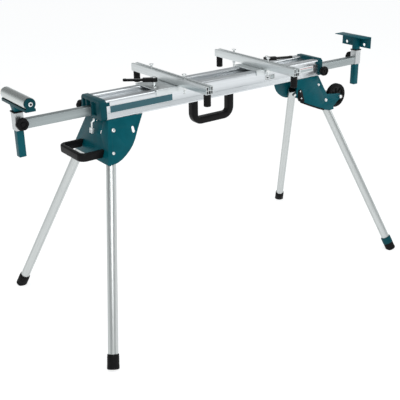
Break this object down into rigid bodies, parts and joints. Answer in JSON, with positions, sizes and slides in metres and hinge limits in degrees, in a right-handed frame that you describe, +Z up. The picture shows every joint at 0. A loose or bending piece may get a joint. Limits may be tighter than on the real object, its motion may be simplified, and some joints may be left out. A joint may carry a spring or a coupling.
{
  "type": "mitre saw stand",
  "caption": "Folding saw stand: extruded beam on splayed legs with sliding extensions, a roller support, a stop plate, clamp-on saw arms, carry handles and wheels.",
  "frame": {"origin": "on the floor, under the middle of the beam", "axes": "+X along the beam towards the wheeled end, +Y away from the label side, +Z up"},
  "size_m": [1.603, 0.7642, 0.881],
  "materials": {
    "beam_alu": "satin",
    "tube_alu": "satin",
    "leg_alu": "satin",
    "teal_paint": "satin",
    "teal_plastic": "satin",
    "black_plastic": "matte",
    "black_metal": "satin",
    "rubber": "matte",
    "tyre": "matte",
    "zinc_steel": "satin",
    "roller_plastic": "satin",
    "label": "gloss"
  },
  "bodies": {
    "frame": {"beam_extrusion": "beam_alu", "end_cap_left": "teal_plastic", "end_cap_right": "teal_plastic", "label_plates": "label", "leg_bracket_left": "teal_paint", "leg_bracket_right": "teal_paint", "leg_pivot_bolts": "zinc_steel", "bracket_rivets": "zinc_steel", "carry_handle": "black_plastic", "end_handle": "black_plastic", "wheel_axle": "zinc_steel"},
    "wheel_front": {"wheel_front": "tyre"},
    "wheel_rear": {"wheel_rear": "tyre"},
    "latch": {"latch_hook": "zinc_steel"},
    "extension_left": {"extension_tube_left": "tube_alu", "socket_left": "tube_alu", "socket_collar_left": "black_plastic", "glide_block_left": "black_plastic"},
    "extension_right": {"extension_tube_right": "tube_alu", "socket_right": "tube_alu", "socket_collar_right": "black_plastic", "glide_block_right": "black_plastic"},
    "extension_knob_left": {"extension_knob_left": "black_plastic"},
    "extension_knob_right": {"extension_knob_right": "black_plastic"},
    "post_knob_left": {"post_knob_left": "black_plastic"},
    "post_knob_right": {"post_knob_right": "black_plastic"},
    "post_left": {"post_left": "teal_paint", "roller_cradle": "teal_paint", "roller_axle": "zinc_steel"},
    "roller": {"roller_tube": "roller_plastic", "roller_end_plugs": "teal_plastic"},
    "post_right": {"post_right": "teal_paint", "stop_plate": "teal_paint", "stop_plate_bolts": "zinc_steel"},
    "levelling_foot": {"foot_front_right": "rubber", "levelling_collar": "teal_plastic"},
    "arm_left": {"arm_left": "beam_alu", "arm_feet_left": "rubber", "arm_bolts_left": "zinc_steel", "clamp_base_left": "beam_alu", "clamp_stud_left": "zinc_steel"},
    "lever_left": {"clamp_lever_left": "black_metal"},
    "leg_front_left": {"leg_tube_front_left": "leg_alu", "leg_plug_front_left": "black_plastic", "foot_front_left": "rubber"},
    "leg_rear_left": {"leg_tube_rear_left": "leg_alu", "leg_plug_rear_left": "black_plastic", "foot_rear_left": "rubber"},
    "arm_right": {"arm_right": "beam_alu", "arm_feet_right": "rubber", "arm_bolts_right": "zinc_steel", "clamp_base_right": "beam_alu", "clamp_stud_right": "zinc_steel"},
    "lever_right": {"clamp_lever_right": "black_metal"},
    "leg_front_right": {"leg_tube_front_right": "leg_alu", "leg_plug_front_right": "black_plastic"},
    "leg_rear_right": {"leg_tube_rear_right": "leg_alu", "leg_plug_rear_right": "black_plastic", "foot_rear_right": "rubber"}
  },
  "joints": [
    {"name": "leg_fold_front_left", "type": "hinge", "parent": "frame", "child": "leg_front_left", "pos_m": [-0.48942, -0.06556, 0.708], "axis": [0, -0.9217, 0.388], "range_deg": [0, 105.6]},
    {"name": "leg_fold_front_right", "type": "hinge", "parent": "frame", "child": "leg_front_right", "pos_m": [0.50851, -0.09208, 0.645], "axis": [0, 0.9217, -0.388], "range_deg": [0, 105.6]},
    {"name": "leg_fold_rear_left", "type": "hinge", "parent": "frame", "child": "leg_rear_left", "pos_m": [-0.48942, 0.06556, 0.708], "axis": [0, -0.9217, -0.388], "range_deg": [0, 105.6]},
    {"name": "leg_fold_rear_right", "type": "hinge", "parent": "frame", "child": "leg_rear_right", "pos_m": [0.50851, 0.09208, 0.645], "axis": [0, 0.9217, 0.388], "range_deg": [0, 105.6]},
    {"name": "foot_level", "type": "slide", "parent": "leg_front_right", "child": "levelling_foot", "axis": [0.269, -0.3737, -0.8877], "range_m": [0, 0.012]},
    {"name": "extension_slide_left", "type": "slide", "parent": "frame", "child": "extension_left", "axis": [-1, 0, 0], "range_m": [-0.22, 0.47]},
    {"name": "extension_slide_right", "type": "slide", "parent": "frame", "child": "extension_right", "axis": [1, 0, 0], "range_m": [-0.22, 0.47]},
    {"name": "post_lift_left", "type": "slide", "parent": "extension_left", "child": "post_left", "axis": [0, 0, 1], "range_m": [0, 0.1]},
    {"name": "post_lift_right", "type": "slide", "parent": "extension_right", "child": "post_right", "axis": [0, 0, 1], "range_m": [0, 0.1]},
    {"name": "roller_spin", "type": "hinge", "parent": "post_left", "child": "roller", "pos_m": [-0.78, -0.0025, 0.861], "axis": [0, 1, 0], "continuous": true},
    {"name": "wheel_spin_front", "type": "hinge", "parent": "frame", "child": "wheel_front", "pos_m": [0.591, -0.085, 0.655], "axis": [0, 1, 0], "continuous": true},
    {"name": "wheel_spin_rear", "type": "hinge", "parent": "frame", "child": "wheel_rear", "pos_m": [0.591, 0.085, 0.655], "axis": [0, 1, 0], "continuous": true},
    {"name": "extension_knob_turn_left", "type": "hinge", "parent": "frame", "child": "extension_knob_left", "pos_m": [-0.511, 0.085, 0.771], "axis": [0, 1, 0], "range_deg": [0, 360]},
    {"name": "extension_knob_turn_right", "type": "hinge", "parent": "frame", "child": "extension_knob_right", "pos_m": [0.511, -0.085, 0.771], "axis": [0, -1, 0], "range_deg": [0, 360]},
    {"name": "post_knob_turn_left", "type": "hinge", "parent": "extension_left", "child": "post_knob_left", "pos_m": [-0.78, -0.016, 0.778], "axis": [0, -1, 0], "range_deg": [0, 360]},
    {"name": "post_knob_turn_right", "type": "hinge", "parent": "extension_right", "child": "post_knob_right", "pos_m": [0.78, 0.016, 0.778], "axis": [0, 1, 0], "range_deg": [0, 360]},
    {"name": "arm_slide_left", "type": "slide", "parent": "frame", "child": "arm_left", "axis": [1, 0, 0], "range_m": [-0.15, 0.13]},
    {"name": "arm_slide_right", "type": "slide", "parent": "frame", "child": "arm_right", "axis": [1, 0, 0], "range_m": [-0.13, 0.15]},
    {"name": "clamp_lever_left", "type": "hinge", "parent": "arm_left", "child": "lever_left", "pos_m": [-0.268, -0.006, 0.841], "axis": [0, 0, 1], "range_deg": [-50, 50]},
    {"name": "clamp_lever_right", "type": "hinge", "parent": "arm_right", "child": "lever_right", "pos_m": [0.268, -0.006, 0.841], "axis": [0, 0, 1], "range_deg": [-50, 50]},
    {"name": "latch_swing", "type": "hinge", "parent": "frame", "child": "latch", "pos_m": [-0.515, -0.009, 0.741], "axis": [0, 1, 0], "range_deg": [0, 35]}
  ]
}
